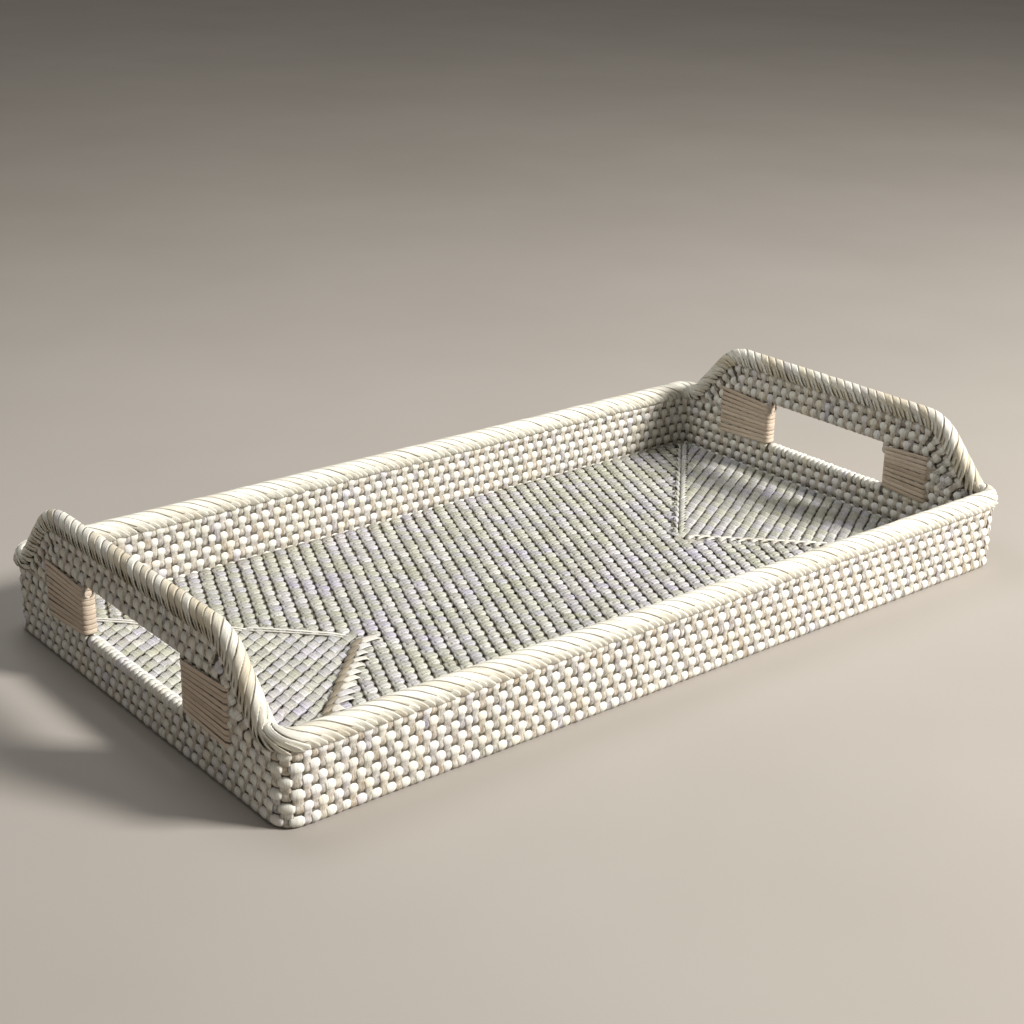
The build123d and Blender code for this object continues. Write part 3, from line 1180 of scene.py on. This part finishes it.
def lash(end, side, name):
    """Flat strands laid round the posts beside a hand opening, side by side."""
    bundle = Bundle()
    low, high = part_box(name)
    bottom = low.z / MM
    pitch = (high.z - low.z) / MM / LASH_STRANDS
    reach = max(abs(low.y), abs(high.y)) / MM
    x = end * WALL_X
    offset = END_ROW_R + LASH_LIFT
    corners = [
        (x - offset, side * reach, 0),
        (x - offset, side * OPENING_Y, 0),
        (x + offset, side * OPENING_Y, 0),
        (x + offset, side * reach, 0),
    ]
    radii = [0, LASH_BEND_R, LASH_BEND_R, 0]
    path = Path(round_corners(corners, radii, False, step=0.6))
    s = np.linspace(END_MARGIN, path.length - END_MARGIN, LASH_SECTIONS)
    point, outward, _ = path.frame(s)
    away = outward if side > 0 else -outward
    past_edge = np.abs(point[:, 1]) - OPENING_Y
    tucked = 1 - np.clip(np.minimum(s, path.length - s) / TUCK_LENGTH, 0, 1)
    even = np.ones((1, LASH_SECTIONS))
    for strand in range(LASH_STRANDS):
        fan = (strand - (LASH_STRANDS - 1) / 2) * LASH_FAN + rng.normal(0, LASH_FAN / 2)
        centre = point - away * (tucked * END_TUCK)[:, None]
        sag = rng.normal(0, LASH_SAG)
        centre[:, 2] = bottom + pitch * (strand + 0.5) + past_edge * fan + sag
        across = np.broadcast_to([0.0, 0.0, float(side)], centre.shape)
        width = pitch / 2 * LASH_OVERLAP * rng.normal(1, 0.03) * even
        crown = LASH_CROWN * even
        tones = rng.random((1, 2))
        bundle.add(centre[None], across[None], away[None], width, crown, tones, 0.5 * even)
    bundle.make(f"{name}_strands", natural_look, "natural_strand", name)


for end_name, end in ENDS.items():
    for side_name, side in SIDES.items():
        lash(end, side, f"{end_name}_lashing_{side_name}")


# ---- mitre seams

FLOOR_TOP = FIRST_Z + CORE_R
SEAM_START = PITCH
SEAM_STOP = WALL_Y - 2 * ROW_R
SEAM_SECTIONS = 11
SEAM_CROWN = 0.5
END_DIP = 1.6
DIP_SHARE = 0.15
TAPER_SHARE = 0.25
BLUNT_END = 0.3
MOST_WORN = 0.6
TWIN_OVERLAP = 3


def lay(bundle, start, stop, half_width, height, bow=0.0):
    """A strand from start to stop on the floor, rising in the middle by bow; its ends dip in."""
    share = np.linspace(0, 1, SEAM_SECTIONS)
    from_end = np.minimum(share, 1 - share)
    plan = start + (stop - start) * share[:, None]
    dip = END_DIP * (1 - np.clip(from_end / DIP_SHARE, 0, 1))
    lift = height + bow * np.sin(pi * share) - dip
    centre = np.concatenate([plan, (FLOOR_TOP + lift)[:, None]], 1)
    run = (stop - start) / norm(stop - start)
    across = np.broadcast_to([run[1], -run[0], 0.0], centre.shape)
    normal = np.broadcast_to([0.0, 0.0, 1.0], centre.shape)
    toe = np.sqrt(1 - (1 - np.clip(from_end / TAPER_SHARE, 0.05, 1)) ** 2)
    width = half_width * (BLUNT_END + (1 - BLUNT_END) * toe)
    even = np.ones((1, SEAM_SECTIONS))
    worn = rng.uniform(0, MOST_WORN) * even
    tones = rng.random((1, 2))
    crown = SEAM_CROWN * even
    bundle.add(centre[None], across[None], normal[None], width[None], crown, tones, worn)


def seam(end, side):
    """A function that gives points on a mitre.  y is the distance from the centre line, to_end
    the distance across the seam towards the end wall, and onward the distance along it."""
    along = np.array([end, side]) / np.sqrt(2)
    across = np.array([end, -side]) / np.sqrt(2)
    apex = WALL_X - WALL_Y

    def at(y, to_end=0.0, onward=0.0):
        return np.array([end * (apex + y), side * y]) + across * to_end + along * onward

    return at


def plait_seam(bundle, at, spacing, length, half_width, spread, offset):
    """Overlapping strands, each laid a little across the seam."""
    for y in np.arange(SEAM_START, SEAM_STOP - 4, spacing):
        start = at(y, offset - spread, -length / 2)
        stop = at(y, offset + spread, length / 2)
        lay(bundle, start, stop, half_width * rng.normal(1, 0.08), height=1.2, bow=0.9)


def stair_seam(bundle, at, inward, spacing, length, half_width):
    """Short strands that step along a seam, into the main field."""
    for y in np.arange(SEAM_START, SEAM_STOP - 2, spacing):
        start = at(y, 0.5)
        stop = start + np.array([-inward * length, 0.0]) * rng.normal(1, 0.12)
        stop[1] += rng.normal(0, 0.8)
        lay(bundle, start, stop, half_width * rng.normal(1, 0.1), height=1.1, bow=0.7)


def twin_seam(bundle, at, gap, half_width):
    """Two long strands side by side, each laid in three overlapping lengths."""
    for offset in (-gap, gap):
        knots = np.linspace(SEAM_START, SEAM_STOP - 2, 4)
        for first, last in zip(knots[:-1], knots[1:]):
            start = at(first - TWIN_OVERLAP, offset)
            stop = at(last + TWIN_OVERLAP, offset + rng.normal(0, 0.5))
            lay(bundle, start, stop, half_width, height=0.8)


left_plait = Bundle()
plait_seam(
    left_plait, seam(-1, -1), spacing=6.5, length=15.0, half_width=1.9, spread=2.2, offset=0.8
)
left_plait.make("seam_plait_left_front", plait_look, "natural_strand", "mitre_lacing_left_front")

left_stairs = Bundle()
stair_seam(left_stairs, seam(-1, -1), inward=-1, spacing=6.0, length=12.5, half_width=3.1)
left_stairs.make("seam_stairs_left_front", wall_look, "wall_strand", "mitre_lacing_left_front")

left_twins = Bundle()
twin_seam(left_twins, seam(-1, 1), gap=1.3, half_width=0.95)
left_twins.make("seam_strands_left_back", wall_look, "wall_strand", "mitre_lacing_left_back")

right_back = Bundle()
plait_seam(
    right_back, seam(1, 1), spacing=3.6, length=9.5, half_width=1.35, spread=1.7, offset=2.0
)
plait_seam(
    right_back, seam(1, 1), spacing=7.2, length=8.0, half_width=1.2, spread=-1.2, offset=-2.6
)
right_back.make("seam_plait_right_back", floor_look, "floor_strand", "mitre_lacing_right_back")

right_front = Bundle()
plait_seam(
    right_front, seam(1, -1), spacing=5.0, length=12.0, half_width=1.4, spread=1.5, offset=0.0
)
stair_seam(right_front, seam(1, -1), inward=1, spacing=5.0, length=8.0, half_width=1.4)
right_front.make("seam_plait_right_front", wall_look, "wall_strand", "mitre_lacing_right_front")


# ---- stage

GROUND_SIZE = 16

bpy.ops.mesh.primitive_plane_add(size=GROUND_SIZE, location=(0, 0, 0))
ground = bpy.context.object
ground.name = "studio_floor"
ground.data.materials.append(floor_material())
